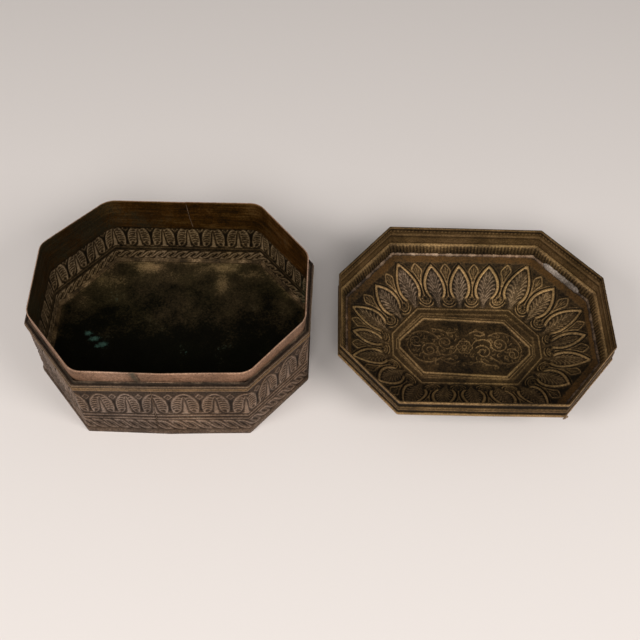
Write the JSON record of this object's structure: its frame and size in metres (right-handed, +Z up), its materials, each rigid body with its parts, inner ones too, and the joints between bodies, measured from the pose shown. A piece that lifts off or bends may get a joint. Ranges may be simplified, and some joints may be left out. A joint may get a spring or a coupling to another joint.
{
  "type": "paan box",
  "caption": "Eight-sided embossed brass paan box, open, with its lift-off lid lying upside down beside it.",
  "frame": {"origin": "middle of the underside of the box, on the surface it stands on", "axes": "+X from the box towards the lid that lies beside it, along the box's length; +Y towards the back; +Z up"},
  "size_m": [0.3979, 0.1558, 0.07],
  "materials": {
    "wall_brass": "old embossed sheet, dark brown patina with worn yellow ridges",
    "collar_brass": "plain sheet, reddish brown patina with fine scratches",
    "bead_brass": "mouldings worn to dull yellow",
    "floor_brass": "near-black brown patina with small verdigris spots",
    "lid_skirt_brass": "thin sheet worn to dull yellow outside",
    "lid_brass": "embossed sheet, olive brown patina with worn yellow ridges",
    "solder": "dull grey-brown solder",
    "crust": "rough pale brown crust"
  },
  "bodies": {
    "box": {"base_plate": "floor_brass", "base_solder": "solder", "box_wall": "wall_brass", "wall_seam_solder": "solder", "collar_left": "collar_brass", "collar_right": "collar_brass", "collar_joint_solder": "solder", "collar_solder": "solder", "shoulder_upper_bead": "bead_brass", "shoulder_lower_bead": "bead_brass"},
    "lid": {"lid_skirt": "lid_skirt_brass", "lid_skirt_solder": "solder", "lid_gadroon_ring": "lid_brass", "lid_ring_solder": "solder", "lid_top_sheet": "lid_brass", "lid_repair_crust": "crust"}
  },
  "joints": [
    {"name": "lid_turn_over", "type": "hinge", "parent": "box", "child": "lid", "pos_m": [0.10375, 0, 0.05058], "axis": [0, -1, 0], "range_deg": [0, 180]}
  ]
}
